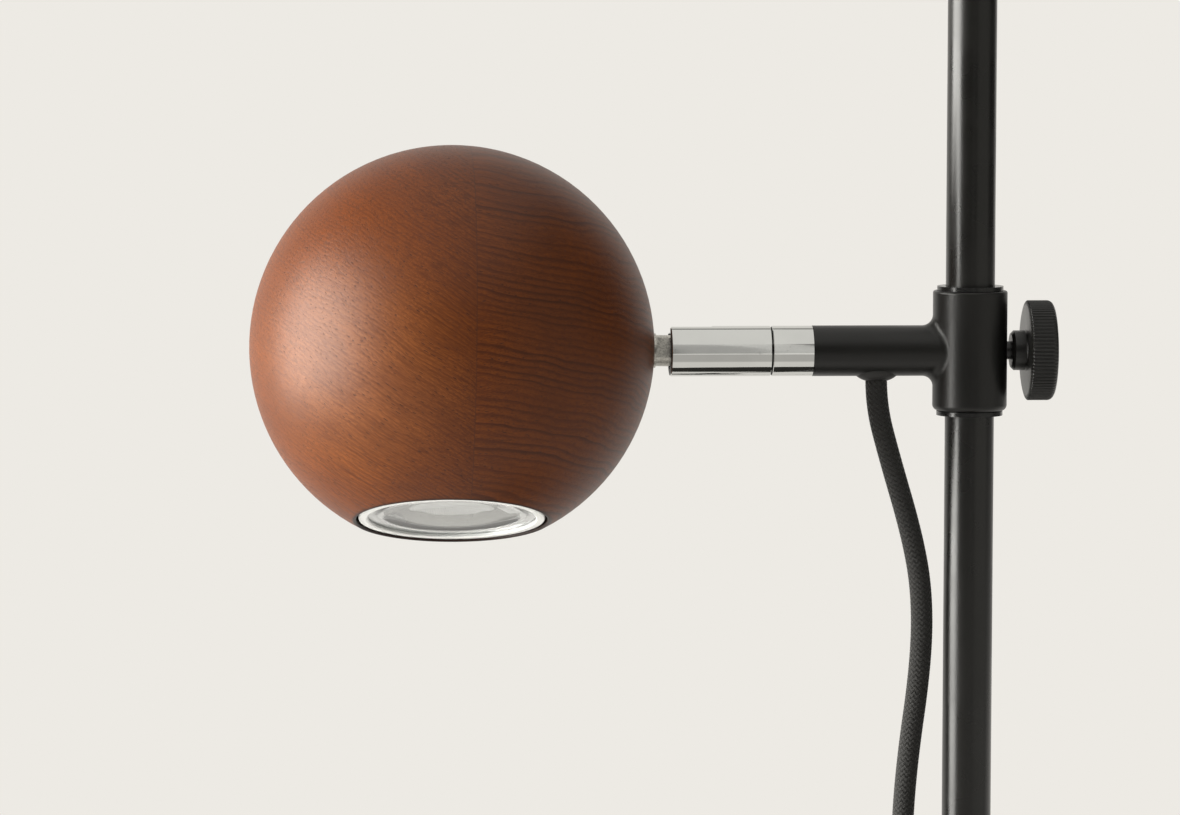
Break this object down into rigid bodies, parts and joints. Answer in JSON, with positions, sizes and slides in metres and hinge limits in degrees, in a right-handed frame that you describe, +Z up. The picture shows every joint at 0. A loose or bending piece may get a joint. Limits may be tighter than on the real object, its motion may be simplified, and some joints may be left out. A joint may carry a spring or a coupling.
{
  "type": "table lamp with clamped swivel arm",
  "caption": "Table lamp with a turned wooden ball spot on a swivel arm that slides on a round pole and is held by a knurled thumb screw.",
  "frame": {"origin": "on the table under the middle of the base, on the pole's axis", "axes": "+Z up along the pole, arm and ball along -X, thumb screw along +X, the picture is taken from -Y"},
  "size_m": [0.3159, 0.3839, 0.4526],
  "materials": {
    "black_steel": "satin black powder coat",
    "knob_black": "black anodised, straight knurl",
    "black_nylon": "glossy black nylon",
    "black_plastic": "matt black plastic",
    "white_nylon": "natural nylon",
    "chrome": "bright chrome",
    "nickel": "cast, nickel plated",
    "zinc_steel": "zinc plated",
    "wood": "stained ash, satin oil",
    "pad": "soft foam rubber",
    "ceramic": "glazed ceramic",
    "brass": "bright brass",
    "bulb_white": "glossy white",
    "bulb_metal": "satin aluminium",
    "lens": "clear",
    "silver": "silvered",
    "cord": "braided textile",
    "strap": "hook and loop strap",
    "wire": "insulated wire"
  },
  "bodies": {
    "stand": {"foot_pad": "pad", "base_plate": "black_steel", "pole": "black_steel", "pole_insert": "zinc_steel", "foot_collar": "black_steel", "pole_cap": "black_plastic", "base_bolt": "zinc_steel", "base_washer": "zinc_steel", "cord_to_switch": "cord", "cord_to_coil": "cord", "cord_to_plug": "cord", "cord_coil": "cord", "coil_tie": "strap", "switch_base": "black_plastic", "switch_cover": "black_plastic", "switch_screws": "zinc_steel", "plug_body": "black_plastic", "plug_pins": "brass", "plug_relief": "black_plastic"},
    "carriage": {"guide_bushes": "black_nylon"},
    "arm": {"tee_arm": "black_steel", "cord_gland": "black_plastic", "swivel_collar": "chrome", "swivel_spindle": "zinc_steel", "swivel_washer": "zinc_steel", "swivel_nut": "zinc_steel", "cord_hanging": "cord", "arm_wires": "wire"},
    "clamp_knob": {"clamp_tip": "white_nylon", "clamp_stud": "knob_black", "clamp_knob": "knob_black"},
    "barrel": {"swivel_barrel": "chrome", "tilt_pin": "zinc_steel"},
    "head": {"knuckle": "nickel", "ball_shade": "wood", "stem_washer": "zinc_steel", "stem_nuts": "zinc_steel", "holder_bracket": "zinc_steel", "lamp_holder": "ceramic", "holder_screws": "zinc_steel", "holder_contacts": "brass", "ball_wires": "wire"},
    "bulb": {"bulb_ring": "bulb_white", "bulb_lens": "lens", "bulb_reflector": "silver", "bulb_optic": "lens", "bulb_board": "bulb_metal", "bulb_housing": "bulb_metal", "bulb_pins": "brass"},
    "rocker": {"switch_rocker": "black_plastic"}
  },
  "joints": [
    {"name": "arm_height", "type": "slide", "parent": "stand", "child": "carriage", "axis": [0, 0, 1], "range_m": [-0.09, 0.115], "deforming": ["cord_to_switch"]},
    {"name": "arm_swing", "type": "hinge", "parent": "carriage", "child": "arm", "pos_m": [0, 0, 0.3], "axis": [0, 0, 1], "range_deg": [-150, 150], "deforming": ["cord_hanging"]},
    {"name": "knob_turn", "type": "hinge", "parent": "arm", "child": "clamp_knob", "pos_m": [0.0153, 0, 0.3], "axis": [1, 0, 0], "range_deg": [0, 540]},
    {"name": "head_spin", "type": "hinge", "parent": "arm", "child": "barrel", "pos_m": [-0.0686, 0, 0.3], "axis": [1, 0, 0], "range_deg": [-120, 155]},
    {"name": "head_tilt", "type": "hinge", "parent": "barrel", "child": "head", "pos_m": [-0.0753, 0, 0.3], "axis": [0, 0.9494, -0.314], "range_deg": [-1, 89]},
    {"name": "bulb_twist", "type": "hinge", "parent": "head", "child": "bulb", "pos_m": [-0.14159, 0.00036, 0.3011], "axis": [-0.0175, -0.3139, -0.9493], "range_deg": [0, 17]},
    {"name": "switch_rock", "type": "hinge", "parent": "stand", "child": "rocker", "pos_m": [-0.042, 0.205, 0.0132], "axis": [1, 0, 0], "range_deg": [0, 16]}
  ]
}
